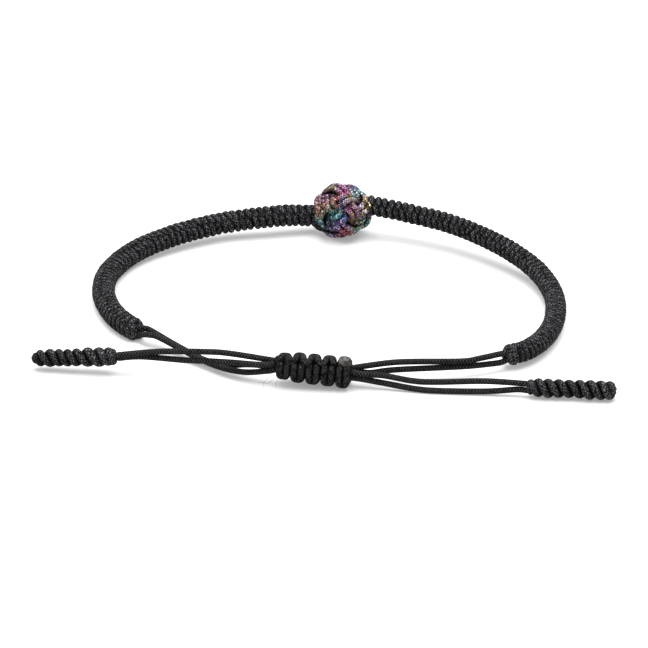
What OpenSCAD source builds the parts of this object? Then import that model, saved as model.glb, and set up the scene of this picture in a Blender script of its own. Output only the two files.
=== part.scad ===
/* [Cord] */
// Diameter of the nylon cord that every black piece is tied from
cord_d = 1.0; // [0.8:0.05:1.05]

/* [Bands] */
// Width of the left half across its ribs
left_band_d = 3.4; // [3.0:0.1:3.4]
// Width of the right half across its ribs
right_band_d = 3.2; // [3.0:0.1:3.2]
// Length of one rib along the band
rib_pitch = 1.17; // [1.0:0.01:1.4]
// Depth of the groove between two ribs, as a share of the radius
rib_groove = 0.15; // [0.05:0.01:0.25]

/* [Colour knot] */
// Diameter over the strands of the metallic knot
knot_d = 9.0; // [8.6:0.1:9.0]
// Diameter of the metallic strand
strand_d = 1.05; // [0.8:0.05:1.2]
// Number of arms that curl round the front of the knot
knot_arms = 5; // [4, 5, 7]

/* [Slide knot] */
// Length of the square knots round the four cords
slide_len = 12.6; // [11:0.1:12.8]
// Width of the slide knot over its side loops
slide_w = 5.2; // [4.8:0.1:5.6]
// Thickness of the slide knot
slide_t = 4.7; // [4.4:0.1:5.0]
// Number of square knots in it
slide_lobes = 5; // [4:1:6]

/* [Stoppers] */
// Length of each stopper knot
stopper_len = 13.9; // [12:0.1:14]
// Diameter over the turns of the left stopper
left_stopper_d = 3.0; // [2.8:0.1:3.2]
// Diameter over the turns of the right stopper
right_stopper_d = 3.1; // [2.9:0.1:3.2]
// Number of turns that show on each stopper
stopper_turns = 9; // [7:1:11]

/* [Hidden] */

// The origin is on the floor, under the middle of the whole bracelet.
// +Y points away from the side with the slide knot, +Z is up.

// Clear space between pieces that touch on the real bracelet
gap = 0.1;
// Distance between the middles of two cords that lie side by side
cord_step = cord_d + 0.06;
// Middle of the metallic knot, which rests on the floor
knot_mid = [3.4, 30.5, knot_d / 2];
// The knot's front looks up at this angle above the horizon
knot_tilt = 33;
// Turn of its pattern about that direction
knot_turn = 12;
// Middle of the slide knot, its turn in plan and its slope
slide_mid = [-1.3, -27.65, 2.8];
slide_turn = -5;
slide_slope = 4.2;

// Centre line of each band half, from the metallic knot to its free end
// columns: x, y, z
LEFT_ROUTE = [
    [  -1.2,   31.6,   3.6],
    [    -9,   30.1,  3.45],
    [ -17.3,   28.5,  2.95],
    [ -25.4,   24.3,   2.6],
    [   -32,   18.8,   2.1],
    [   -36,   11.4,  1.75],
    [ -36.8,      4,  1.72],
    [ -35.6,   -2.4,  1.72],
    [ -33.4,   -7.6,  1.72],
    [ -30.6,  -11.2,  1.72]];
RIGHT_ROUTE = [
    [   8.2,   30.2,   5.6],
    [  14.4,     28,   5.2],
    [  22.6,   23.9,  4.75],
    [  30.6,   17.2,   3.9],
    [  36.2,   10.2,   2.7],
    [  38.8,      2,     2],
    [  38.7,   -6.5,   1.9],
    [  36.9,  -13.7,     2],
    [  33.8,  -19.1,   2.2],
    [  30.4,  -21.6,  2.35]];

// Routes of the four cords, from a band's free end, through the slide knot,
// to the stopper on the other side
// columns: x, y, z
CORD_LEFT_A = [
    [ -30.4, -11.45,  2.45],
    [ -29.6,    -12,  2.55],
    [ -28.4,  -12.2,   2.3],
    [ -24.7, -15.35,   1.5],
    [ -20.7, -19.15,     1],
    [ -18.7, -20.75,  0.85],
    [ -16.7,  -22.3,     1],
    [ -14.7, -23.55,  1.45],
    [-12.75,  -24.6,   2.1],
    [-10.75,  -25.5,   2.5],
    [  -8.8, -26.25,   2.6],
    [ -7.25,  -26.6,   2.7],
    [  -3.7, -27.15,  2.25],
    [   0.6,  -28.1,  1.95],
    [     4, -28.65,  1.85],
    [  6.45, -28.75,  1.55],
    [    10,  -29.3,   1.1],
    [ 14.85,  -30.3,   0.6],
    [ 18.75, -30.85,   0.5],
    [  26.5, -31.35,  0.65],
    [ 31.35,  -31.7,  1.15],
    [  33.1,    -32,  1.15]];
CORD_LEFT_B = [
    [ -30.4, -11.75,   1.3],
    [-29.55, -12.75,  1.75],
    [ -28.4, -13.85,   2.2],
    [ -26.7, -15.05,  2.25],
    [-20.65, -20.45,   1.4],
    [-16.65,  -23.6,  1.15],
    [ -12.7,  -25.8,  1.35],
    [  -8.8,  -27.3,   2.3],
    [ -7.35, -27.65,   2.7],
    [ -3.75, -28.15,   2.7],
    [  0.65, -28.55,  2.95],
    [  4.05, -28.65,  2.95],
    [  6.45, -29.05,   2.6],
    [    10,  -29.2,   2.4],
    [ 14.85, -29.85,  1.75],
    [ 18.75,  -30.2,  1.75],
    [  26.5,  -30.9,  2.25],
    [  33.1, -31.95,   2.3]];
CORD_RIGHT_A = [
    [  30.3,    -22,  2.95],
    [ 29.35, -22.55,   3.1],
    [  25.7,    -24,  2.95],
    [ 22.75, -24.85,  2.85],
    [  14.9,  -26.1,   3.4],
    [    11,  -26.7,   3.5],
    [  6.45, -27.45,   3.2],
    [  4.15,  -27.6,  2.95],
    [  0.75, -27.55,  3.35],
    [ -3.65, -27.75,   3.7],
    [ -7.25, -27.65,  3.75],
    [ -9.75, -27.35,  3.45],
    [-14.65,  -26.1,  3.25],
    [-18.55,  -25.3,   3.1],
    [ -22.5, -24.65,  2.95],
    [-29.35,  -23.5,     3],
    [-33.15,  -23.1,  2.55]];
CORD_RIGHT_B = [
    [  30.3,  -21.9,  1.75],
    [ 29.35, -22.55,  1.55],
    [  27.7, -23.25,   1.6],
    [ 22.75,  -24.7,   1.8],
    [    12, -26.75,  2.25],
    [   8.1,  -27.4,  2.05],
    [  6.45, -27.45,   2.1],
    [  4.05,  -27.6,   1.9],
    [  0.75,  -27.1,  2.35],
    [  -3.6, -26.75,  3.25],
    [  -7.2,  -26.6,  3.75],
    [-14.65, -25.55,  4.55],
    [-18.55, -25.05,  4.65],
    [ -26.4, -24.25,   4.3],
    [-33.15, -23.75,  3.45]];

// Vectors and smooth curves through a table of points
function unit(v) = v / norm(v);
function catmull(a, b, c, d, t) =
    0.5 * (2 * b + (c - a) * t + (2 * a - 5 * b + 4 * c - d) * t * t
           + (3 * b - a - 3 * c + d) * t * t * t);
function curve(pts, per) =
    let (last = len(pts) - 1)
    concat(
        [for (i = [0 : last - 1], j = [0 : per - 1])
            catmull(pts[max(i - 1, 0)], pts[i], pts[i + 1], pts[min(i + 2, last)], j / per)],
        [pts[last]]);
function running(line, i = 0, sum = 0) =
    i == len(line) - 1 ? [sum]
    : concat([sum], running(line, i + 1, sum + norm(line[i + 1] - line[i])));

// A point, and the three directions there, at a distance along a curve
function spot(line, lengths, s) = [for (axis = [0 : 2])
    lookup(s, [for (i = [0 : len(line) - 1]) [lengths[i], line[i][axis]]])];
function heading(line, lengths, s) =
    let (step = 0.4, total = lengths[len(lengths) - 1])
    unit(spot(line, lengths, min(s + step, total)) - spot(line, lengths, max(s - step, 0)));
function side_of(t) = unit(cross(t, [0, 0, 1]));
function up_of(t) = cross(side_of(t), t);

// One closed skin over rings of equal count, with a flat cap at each end
module skin(rings) {
    n = len(rings[0]);
    last = len(rings) - 1;
    sides = [for (i = [0 : last - 1], k = [0 : n - 1])
        let (a = i * n + k, b = i * n + (k + 1) % n)
        each [[a, b, b + n], [a, b + n, a + n]]];
    caps = [[for (k = [n - 1 : -1 : 0]) k], [for (k = [0 : n - 1]) last * n + k]];
    polyhedron(points = [for (r = rings) each r], faces = concat(sides, caps));
}

// A plain round cord along a route
CORD_SIDES = 8;
CORD_RINGS = 26;
module cord(route) {
    line = curve(route, 8);
    lengths = running(line);
    total = lengths[len(lengths) - 1];
    color("#1b1b1d")
    skin([for (i = [0 : CORD_RINGS - 1])
        let (s = total * i / (CORD_RINGS - 1), c = spot(line, lengths, s),
             t = heading(line, lengths, s))
        [for (k = [0 : CORD_SIDES - 1])
            let (a = 360 * k / CORD_SIDES)
            c + cord_d / 2 * (cos(a) * side_of(t) + sin(a) * up_of(t))]]);
}

// A band half: ribs round a centre line, those of the outer side half a rib
// ahead of those of the inner side, so that they meet in a zigzag seam
BAND_SIDES = 10;
// Place of each ring in its rib, and its share of the radius
RIB_RINGS = [[0, 1 - rib_groove], [0.3, 1], [0.7, 1]];
module band(route, width) {
    line = curve(route, 12);
    lengths = running(line);
    total = lengths[len(lengths) - 1];
    ribs = round(total / rib_pitch);
    pitch = total / ribs;
    stations = concat(
        [[0, 0.72, 0]],
        [for (i = [0 : ribs - 1], r = RIB_RINGS)
            if (i > 0 || r[0] > 0) [(i + r[0]) * pitch, r[1], i == 0 || i == ribs - 1 ? 0 : 0.25]],
        [[total, 0.72, 0]]);
    color("#1d1d1f")
    skin([for (st = stations)
        let (c = spot(line, lengths, st[0]), t = heading(line, lengths, st[0]))
        [for (k = [0 : BAND_SIDES - 1])
            let (a = 90 + 360 * k / BAND_SIDES,
                 ahead = abs(cos(a)) < 0.01 ? 0 : sign(cos(a)) * st[2] * pitch)
            c + ahead * t + width / 2 * st[1] * (cos(a) * side_of(t) + sin(a) * up_of(t))]]);
}
module band_left() { band(LEFT_ROUTE, left_band_d); }
module band_right() { band(RIGHT_ROUTE, right_band_d); }

// The metallic knot: a doubled strand runs three times round the ball while
// it swings from pole to pole, over one crossing and under the next
KNOT_ROUNDS = 3;
KNOT_SWING = 72;
KNOT_SAMPLES = 150;
KNOT_LATS = 34;
KNOT_LONS = 56;
knot_mean = (knot_d - strand_d) / 2 - 0.25;
knot_lift = 0.3;
function on_ball(colat, lon) = [sin(colat) * cos(lon), sin(colat) * sin(lon), cos(colat)];
function strand_dir(t) = on_ball(90 + KNOT_SWING * cos(knot_arms * t), KNOT_ROUNDS * t + knot_turn);
function strand_height(t) = knot_mean - knot_lift * sin(knot_arms * (KNOT_ROUNDS - 1) * t);
// Each sample: the direction of one strand of the pair, and its distance from the middle
knot_strand = [for (i = [0 : KNOT_SAMPLES - 1], pass = [-1, 1])
    let (t = 360 * i / KNOT_SAMPLES, d = strand_dir(t),
         along = unit(strand_dir(t + 0.5) - d),
         aside = cross(d, along))
    [unit(d + pass * aside * strand_d / 2 / knot_mean), strand_height(t)]];
// Where the black loop presses into the knot, from the knot's middle
dent_dir = unit([-3.2, 0.6, -3.3]);
dent_depth = 0.95;
function knot_radius(d) = max([for (s = knot_strand)
    let (across = knot_mean * norm(d - s[0]))
    across < strand_d / 2 * 1.1 ? s[1] + sqrt(pow(strand_d / 2 * 1.1, 2) - across * across)
    : knot_mean - 0.35]);
function knot_point(colat, lon) =
    let (d = on_ball(colat, lon),
         back = 90 - knot_tilt,
         tipped = [d[0], d[1] * cos(back) - d[2] * sin(back), d[1] * sin(back) + d[2] * cos(back)],
         near = max(0, tipped * dent_dir),
         r = min(knot_radius(d), knot_d / 2 - dent_depth * pow(near, 12)))
    knot_mid + r * tipped;
module colour_knot() {
    color("#8a5f7d")
    skin([for (i = [1 : KNOT_LATS - 1])
        [for (k = [0 : KNOT_LONS - 1]) knot_point(180 * i / KNOT_LATS, 360 * k / KNOT_LONS)]]);
}

// The black loop of cord that comes out under the left band's end
module end_loop() {
    loop = [[-0.8, 31.6, 1.75], [-0.2, 31.2, 1.15], [0.9, 31.4, 0.75]];
    color("#1b1b1d")
    for (i = [0 : 1])
        hull() for (p = [loop[i], loop[i + 1]]) translate(p) sphere(d = 1.2, $fn = 12);
}

// The slide knot: a row of square knots with a round channel for the four
// cords, which make a quarter turn about each other in it
SLIDE_SIDES = 20;
// Place of each ring in its lobe, and how full the side loop is there
LOBE_RINGS = [[0, 0], [0.2, 0.75], [0.5, 1], [0.8, 0.75]];
lobe_depth = 0.17;
channel_w = sqrt(2) * cord_step + cord_d + 2 * gap;
// How much wider the channel opens at each end
mouth_flare = 0.4;
tip_seat = 1.8;
function rounded(a, w, h, power) =
    1 / pow(pow(abs(cos(a)) / (w / 2), power) + pow(abs(sin(a)) / (h / 2), power), 1 / power);
module slide_knot() {
    lobe = slide_len / slide_lobes;
    outer = concat(
        [for (i = [0 : slide_lobes - 1], r = LOBE_RINGS) [(i + r[0]) * lobe, 1 - lobe_depth * (1 - r[1])]],
        [[slide_len, 1 - lobe_depth]]);
    bore = [[slide_len / 2, channel_w + mouth_flare], [slide_len / 2 - 1, channel_w],
            [1 - slide_len / 2, channel_w], [-slide_len / 2, channel_w + mouth_flare]];
    rows = [for (k = [0 : SLIDE_SIDES - 1])
        let (a = 360 * k / SLIDE_SIDES)
        concat(
            [for (o = outer)
                let (full = rounded(a, slide_w, slide_t, 2.4) * o[1],
                     seat = tip_seat / max(sin(a), 0.01),
                     r = o[0] > slide_len - lobe ? min(full, seat) : full)
                [o[0] - slide_len / 2, r * cos(a), r * sin(a)]],
            [for (b = bore)
                [b[0], b[1] / 2 * cos(a), b[1] / 2 * sin(a)]])];
    m = len(rows[0]);
    faces = [for (k = [0 : SLIDE_SIDES - 1], j = [0 : m - 1])
        let (a = k * m + j, b = k * m + (j + 1) % m,
             c = ((k + 1) % SLIDE_SIDES) * m + (j + 1) % m, d = ((k + 1) % SLIDE_SIDES) * m + j)
        each [[a, b, c], [a, c, d]]];
    color("#1b1b1d") in_slide_place() polyhedron(points = [for (r = rows) each r], faces = faces);
}
module in_slide_place() {
    translate(slide_mid) rotate([0, slide_slope, slide_turn]) children();
}

// The melted end of the tying cord, a low dome on the last lobe
module burnt_tip() {
    tip_r = 1.1;
    color("#6d6058")
    in_slide_place()
    translate([slide_len / 2 - tip_r - 0.1, 0.2, tip_seat + gap])
    rotate_extrude($fn = 24)
    intersection() {
        circle(r = tip_r, $fn = 24);
        square(tip_r);
    }
}

// A stopper: leaning turns of cord round the ends of two cords
STOPPER_SIDES = 10;
// Place of each ring in its turn, and its share of the radius
TURN_RINGS = [[0, 0.82], [0.25, 0.96], [0.5, 1], [0.75, 0.96]];
stopper_lean = 0.45;
module stopper(from, to, width) {
    axis = to - from;
    t = unit(axis);
    turn = norm(axis) / stopper_turns;
    stations = concat(
        [[0, 0.7, 0]],
        [for (i = [0 : stopper_turns - 1], r = TURN_RINGS)
            if (i > 0 || r[0] > 0) [(i + r[0]) * turn, r[1], min(1, i + r[0], stopper_turns - i - r[0])]],
        [[norm(axis), 0.6, 0]]);
    color("#1c1c1e")
    skin([for (st = stations)
        [for (k = [0 : STOPPER_SIDES - 1])
            let (a = 360 * k / STOPPER_SIDES,
                 r = width / 2 * st[1],
                 lean = -stopper_lean * sign(t[0]) * sin(a) * r * st[2])
            from + (st[0] + lean) * t + r * (cos(a) * side_of(t) + sin(a) * up_of(t))]]);
}
module stopper_left() {
    start = [-33.4, -23.45, 3.0];
    stopper(start, start + stopper_len * unit([-13.9, 1.5, -1.05]), left_stopper_d);
}
module stopper_right() {
    start = [33.35, -31.95, 1.65];
    stopper(start, start + stopper_len * unit([13.3, -1.1, 0]), right_stopper_d);
}

band_left();
band_right();
colour_knot();
end_loop();
cord(CORD_LEFT_A);  // cord_left_a
cord(CORD_LEFT_B);  // cord_left_b
cord(CORD_RIGHT_A);  // cord_right_a
cord(CORD_RIGHT_B);  // cord_right_b
slide_knot();
burnt_tip();
stopper_left();
stopper_right();
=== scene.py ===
# %% [markdown]
# # A knotted cord bracelet
# This lesson dresses the solid model of a cord bracelet: two ribbed bands, a metallic button knot, a
# sliding knot and two stoppers. Every black piece is tied from one 1 mm nylon cord, so nearly everything
# here is a length of cord laid along a path. The solids could be painted as they are, but their ribs are
# only rough relief. Real turns of cord give the small shadows between ribs that make a knot look tied.

# %% Load the frame
import math
import bmesh
import bpy
import numpy as np
from mathutils import Matrix, Vector, kdtree, noise


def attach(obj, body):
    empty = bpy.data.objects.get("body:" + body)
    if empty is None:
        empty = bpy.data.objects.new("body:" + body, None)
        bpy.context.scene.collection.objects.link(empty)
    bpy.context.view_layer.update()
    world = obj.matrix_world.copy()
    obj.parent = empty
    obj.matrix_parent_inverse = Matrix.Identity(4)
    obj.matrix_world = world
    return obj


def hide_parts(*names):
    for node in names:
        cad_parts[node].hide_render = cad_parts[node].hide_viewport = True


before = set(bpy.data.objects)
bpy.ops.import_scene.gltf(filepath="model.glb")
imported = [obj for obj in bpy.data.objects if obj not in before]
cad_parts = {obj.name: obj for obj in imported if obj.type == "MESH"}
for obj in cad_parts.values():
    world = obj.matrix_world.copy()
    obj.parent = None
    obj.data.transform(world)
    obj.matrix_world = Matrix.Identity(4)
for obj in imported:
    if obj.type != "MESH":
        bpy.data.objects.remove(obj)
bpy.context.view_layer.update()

MM = 0.001
print("solids:", ", ".join(sorted(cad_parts)))

# %% [markdown]
# ## Camera
# The photo looks down on the bracelet at a shallow angle, with nearly parallel sight lines. A long lens far
# away gives that. The camera could be turned by hand, but aiming it from a few named numbers keeps the view
# exact.

# %% Camera
VIEW_TILT = 26.0
VIEW_DISTANCE = 800.0
PIXELS_PER_MM = 6.0
PICTURE_WIDTH = 648
SENSOR_WIDTH = 36.0
AIM = (0.3, -5.2, 0.0)


def make_camera():
    data = bpy.data.cameras.new("camera")
    data.sensor_fit = "HORIZONTAL"
    data.sensor_width = SENSOR_WIDTH
    data.lens = PIXELS_PER_MM * VIEW_DISTANCE / PICTURE_WIDTH * SENSOR_WIDTH
    data.clip_start = 0.01
    camera = bpy.data.objects.new("camera", data)
    tilt = math.radians(VIEW_TILT)
    back = Vector((0, -math.cos(tilt), math.sin(tilt))) * VIEW_DISTANCE
    camera.location = (Vector(AIM) + back) * MM
    camera.rotation_euler = (math.radians(90) - tilt, 0, 0)
    bpy.context.scene.collection.objects.link(camera)
    bpy.context.scene.camera = camera
    return camera


camera = make_camera()
bpy.context.scene.view_settings.view_transform = "Standard"
print("lens", round(camera.data.lens, 1), "mm")

# %% [markdown]
# ## Paths
# A route is a short table of points, in millimetres. A smooth curve through them could be a Bezier spline,
# but a knot needs more: at any distance along the band it has to say which way is forward, left and up, so
# that turns of cord can be laid round it. A small class works that out from the table.

# %% Routes
def smooth_line(table, steps=24):
    """A Catmull-Rom curve through the table's points."""
    p = np.array(table, float)
    p = np.vstack([p[0], p, p[-1]])
    t = np.linspace(0, 1, steps, endpoint=False)[:, None]
    parts = []
    for a, b, c, d in zip(p, p[1:], p[2:], p[3:]):
        cubic = (2 * b + (c - a) * t + (2 * a - 5 * b + 4 * c - d) * t**2
                 + (3 * b - a - 3 * c + d) * t**3)
        parts.append(cubic / 2)
    return np.vstack(parts + [p[-1:]])


class Route:
    def __init__(self, table):
        self.line = smooth_line(table)
        steps = np.linalg.norm(np.diff(self.line, axis=0), axis=1)
        self.run = np.concatenate([[0], np.cumsum(steps)])
        self.length = self.run[-1]

    def place(self, s):
        return np.stack([np.interp(s, self.run, self.line[:, k]) for k in range(3)], axis=-1)

    def directions(self, s, reach=0.5):
        low = np.maximum(s - reach, 0)
        high = np.minimum(s + reach, self.length)
        ahead = self.place(high) - self.place(low)
        ahead /= np.linalg.norm(ahead, axis=-1, keepdims=True)
        left = np.cross([0.0, 0.0, 1.0], ahead)
        left /= np.linalg.norm(left, axis=-1, keepdims=True)
        return ahead, left, np.cross(ahead, left)

    def round(self, s, angle, radius):
        """Points beside the route: angle 0 is to its left, 90 degrees is up."""
        _, left, up = self.directions(np.clip(s, 0, self.length))
        out = np.cos(angle)[:, None] * left + np.sin(angle)[:, None] * up
        return self.place(s) + np.asarray(radius)[..., None] * out


# %% [markdown]
# ## Laying cord
# A strand of cord is a path with a round section. Extruding a circle step by step with bmesh would do it,
# but a curve with a bevel does the same in one go, can taper, and leaves a UV map that runs round and along
# the cord. The UV map is stretched to millimetres, so that one plait pattern fits every strand.

# %% Strands to mesh
# the plain cord's thickness in millimetres
CORD = 1.0


def lay_strands(name, strands, radius, sides=12, closed=False, widths=None):
    """One mesh from many strands of about equal length, in millimetres. A strand that would sink into the
    table lies on it instead."""
    data = bpy.data.curves.new(name, "CURVE")
    data.dimensions = "3D"
    data.bevel_depth = radius * MM
    data.bevel_resolution = (sides - 4) // 2
    data.use_fill_caps = not closed
    lowest = radius if widths is None else radius * np.asarray(widths, float)
    for strand in strands:
        strand = np.column_stack([strand[:, :2], np.maximum(strand[:, 2], lowest)])
        spline = data.splines.new("POLY")
        spline.points.add(len(strand) - 1)
        flat = np.column_stack([strand * MM, np.ones(len(strand))])
        spline.points.foreach_set("co", flat.ravel())
        if widths is not None:
            spline.points.foreach_set("radius", np.asarray(widths, float))
        spline.use_cyclic_u = closed
    holder = bpy.data.objects.new(name, data)
    mesh = bpy.data.meshes.new_from_object(holder)
    bpy.data.objects.remove(holder)
    bpy.data.curves.remove(data)
    steps = [np.linalg.norm(np.diff(strand, axis=0), axis=1).sum() for strand in strands]
    stretch_uv(mesh, float(np.mean(steps)))
    return mesh


def stretch_uv(mesh, length):
    """Makes U run along the cord in millimetres; V stays 0 to 1 round it."""
    layer = mesh.uv_layers[0]
    uv = np.zeros(len(mesh.loops) * 2, np.float32)
    layer.data.foreach_get("uv", uv)
    uv[0::2] *= length
    layer.data.foreach_set("uv", uv)
    layer.name = "cord_map"


print("the plain cord is", CORD, "mm thick")

# %% [markdown]
# ## One object for each piece
# A knot is many strands, but it is one piece of the bracelet, so it should be one object. A boolean union
# is slow and breaks easily where so many tubes touch. It is enough to put the meshes together, weld the
# flat caps on and turn every face outwards.

# %% Joining strands
def join_meshes(name, meshes, weld=0.002):
    """One object from several meshes, with the caps welded on and every face turned outwards."""
    bm = bmesh.new()
    for mesh in meshes:
        bm.from_mesh(mesh)
    bmesh.ops.remove_doubles(bm, verts=bm.verts, dist=weld * MM)
    bmesh.ops.recalc_face_normals(bm, faces=bm.faces)
    whole = bpy.data.meshes.new(name)
    bm.to_mesh(whole)
    bm.free()
    for mesh in meshes:
        bpy.data.meshes.remove(mesh)
    whole.polygons.foreach_set("use_smooth", [True] * len(whole.polygons))
    piece = bpy.data.objects.new(name, whole)
    bpy.context.scene.collection.objects.link(piece)
    triangles = sum(len(p.vertices) - 2 for p in whole.polygons)
    print(name, "has", triangles, "triangles")
    return piece


# %% [markdown]
# ## Crowns and gaps
# Light reaches the crowns of the turns and hardly the gaps between them. That shade could be baked into an
# image, but a number on each vertex does it too and needs no file. It is 0 down in the gaps and 1 on the
# crowns, worked out from how far each vertex lies from the line that runs inside the piece.

# %% Marking crowns
# the line inside stops this many millimetres short of a piece's ends, so that a closed end counts as a crown
END_SETBACK = 1.3


def mark_crowns(piece, outness, low, high):
    """Stores on each vertex how far out it lies: 0 down in the gaps between turns, 1 on their crowns."""
    points = np.zeros(len(piece.data.vertices) * 3, np.float32)
    piece.data.vertices.foreach_get("co", points)
    share = np.clip((outness(points.reshape(-1, 3) / MM) - low) / (high - low), 0, 1)
    layer = piece.data.attributes.new("crown", "FLOAT", "POINT")
    layer.data.foreach_set("value", share.astype(np.float32))


def off_route(route):
    """Gives a function that measures how far points are from the route, less its last bit at either end."""
    line = route.place(np.linspace(END_SETBACK, route.length - END_SETBACK, int(route.length * 5) + 2))
    tree = kdtree.KDTree(len(line))
    for number, place in enumerate(line):
        tree.insert(place, number)
    tree.balance()
    return lambda points: np.array([tree.find(place)[2] for place in points])


# %% [markdown]
# ## The drawstring cords
# Two cords leave each band, run through the slide knot and end in the stopper on the other side. They are
# bare cord, so each is one strand along its route. A physics rope could settle them, but the photo already
# shows where they lie, so the routes are the ones that the solid model uses, repeated here in millimetres.

# %% Cord routes
# columns: x, y, z
CORD_ROUTES = {
    "cord_left_a": [
        (-30.4, -11.45, 2.45), (-29.6, -12.0, 2.55), (-28.4, -12.2, 2.3), (-24.7, -15.35, 1.5),
        (-20.7, -19.15, 1.0), (-18.7, -20.75, 0.85), (-16.7, -22.3, 1.0), (-14.7, -23.55, 1.45),
        (-12.75, -24.6, 2.1), (-10.75, -25.5, 2.5), (-8.8, -26.25, 2.6), (-7.25, -26.6, 2.7),
        (-3.7, -27.15, 2.25), (0.6, -28.1, 1.95), (4.0, -28.65, 1.85), (6.45, -28.75, 1.55),
        (10.0, -29.3, 1.1), (14.85, -30.3, 0.6), (18.75, -30.85, 0.5), (26.5, -31.35, 0.65),
        (31.35, -31.7, 1.15), (33.1, -32.0, 1.15)],
    "cord_left_b": [
        (-30.4, -11.75, 1.3), (-29.55, -12.75, 1.75), (-28.4, -13.85, 2.2), (-26.7, -15.05, 2.25),
        (-20.65, -20.45, 1.4), (-16.65, -23.6, 1.15), (-12.7, -25.8, 1.35), (-8.8, -27.3, 2.3),
        (-7.35, -27.65, 2.7), (-3.75, -28.15, 2.7), (0.65, -28.55, 2.95), (4.05, -28.65, 2.95),
        (6.45, -29.05, 2.6), (10.0, -29.2, 2.4), (14.85, -29.85, 1.75), (18.75, -30.2, 1.75),
        (26.5, -30.9, 2.25), (33.1, -31.95, 2.3)],
    "cord_right_a": [
        (30.3, -22.0, 2.95), (29.35, -22.55, 3.1), (25.7, -24.0, 2.95), (22.75, -24.85, 2.85),
        (14.9, -26.1, 3.4), (11.0, -26.7, 3.5), (6.45, -27.45, 3.2), (4.15, -27.6, 2.95),
        (0.75, -27.55, 3.35), (-3.65, -27.75, 3.7), (-7.25, -27.65, 3.75), (-9.75, -27.35, 3.45),
        (-14.65, -26.1, 3.25), (-18.55, -25.3, 3.1), (-22.5, -24.65, 2.95), (-29.35, -23.5, 3.0),
        (-33.15, -23.1, 2.55)],
    "cord_right_b": [
        (30.3, -21.9, 1.75), (29.35, -22.55, 1.55), (27.7, -23.25, 1.6), (22.75, -24.7, 1.8),
        (12.0, -26.75, 2.25), (8.1, -27.4, 2.05), (6.45, -27.45, 2.1), (4.05, -27.6, 1.9),
        (0.75, -27.1, 2.35), (-3.6, -26.75, 3.25), (-7.2, -26.6, 3.75), (-14.65, -25.55, 4.55),
        (-18.55, -25.05, 4.65), (-26.4, -24.25, 4.3), (-33.15, -23.75, 3.45)],
}

# %% [markdown]
# Each cord is laid in short steps, so that it bends smoothly.

# %% Laying the cords
CORD_STEP = 0.25
cords = {}
for node, table in CORD_ROUTES.items():
    route = Route(table)
    line = route.place(np.linspace(0, route.length, round(route.length / CORD_STEP)))
    piece = join_meshes(node + "_plait", [lay_strands(node + "_plait", [line], CORD / 2, sides=16)])
    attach(piece, "root")
    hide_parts(node)
    cords[node] = piece
    print(node, "is", round(route.length, 1), "mm long")


# %% [markdown]
# A cord that stops at the surface of a knot leaves a crack. The cord could be made longer, but its length
# is a fact about the bracelet. So each knot has short tails of its own, which overlap the cords' ends by a
# little and run on inside. They are a shade thinner than the cord, so that the two surfaces don't fight.

# %% Cord tails
# in millimetres, and as a share of the cord's thickness
TAIL_OVERLAP = 0.3
TAIL_THINNER = 0.98


def tail(node, end, inside):
    """The short bit between a cord's end and the inside of a knot; end is 0 for the cord's first end."""
    route = Route(CORD_ROUTES[node])
    from_end = np.array([TAIL_OVERLAP, 0.0])
    last = route.place(from_end if end == 0 else route.length - from_end)
    return lay_strands(node + "_tail", [np.vstack([last, inside])], CORD / 2 * TAIL_THINNER, sides=16)


print("tails overlap the cords by", TAIL_OVERLAP, "mm")

# %% [markdown]
# ## The bands
# Each band half is a sinnet: cord turns are laid over a core from both sides, and where they meet they tuck
# under each other in a zigzag seam. Modelling one pair of turns and arraying it would be stiff where the
# band bends and twists. Here each half turn is its own strand, worked out round the route: it leaves the
# seam, goes round one side, leans forward by one rib on the way, and dives under the turns of the other
# side.

# %% Half turns
TURN_POINTS = 17
# degrees: how far a turn goes on under the other side's turns, and how far before the seam it starts to dive
TUCK = 30.0
DIVE = 10.0
# at the seam a turn bends along the band by this share of a rib, within about so many degrees
HOOK = 0.22
HOOK_REACH = 28.0
# how far the hidden end sinks, in cord thicknesses, and how much thinner it gets
SINK = 0.75
THINNER = 0.35


def half_turn(route, start, side, seam, pitch, width, cord):
    """One half turn of cord; side is 1 for the turns past the seam and -1 for those before it."""
    d = np.radians(np.linspace(-TUCK, 180 + TUCK, TURN_POINTS))
    end = np.minimum(d, math.pi - d)
    deep = np.clip((math.radians(DIVE) - end) / math.radians(DIVE + TUCK), 0, 1)
    near = np.exp(-(d / math.radians(HOOK_REACH)) ** 2)
    far = np.exp(-((math.pi - d) / math.radians(HOOK_REACH)) ** 2)
    hook = HOOK * pitch
    lean = (pitch - 2 * hook) * d / math.pi + hook * (far - near)
    s = np.clip(start + side * lean, 0, route.length)
    radius = (width - cord) / 2 - SINK * cord * deep ** 1.5
    taper = 1 - THINNER * deep
    return route.round(s, seam + side * d, radius), taper


print("a turn covers", 180 + 2 * TUCK, "degrees")

# %% [markdown]
# A row of half turns ends open, with its core in view like a cut pipe. A flat cap would look like a plug.
# On the real band the last turns of cord fold over the end, so two bows of cord close it, one on either
# side of the cords that come out.

# %% Closing turns
# how far the bow curves forward and how far it is set back from the end, in millimetres
CLOSING_BOW = 0.9
CLOSING_SINK = 0.8
# its height and its distance from the middle, as shares of the band's, and how far it hangs, in millimetres
CLOSING_HEIGHT = 0.82
CLOSING_ASIDE = 0.55
CLOSING_DROP = 0.12


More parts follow.
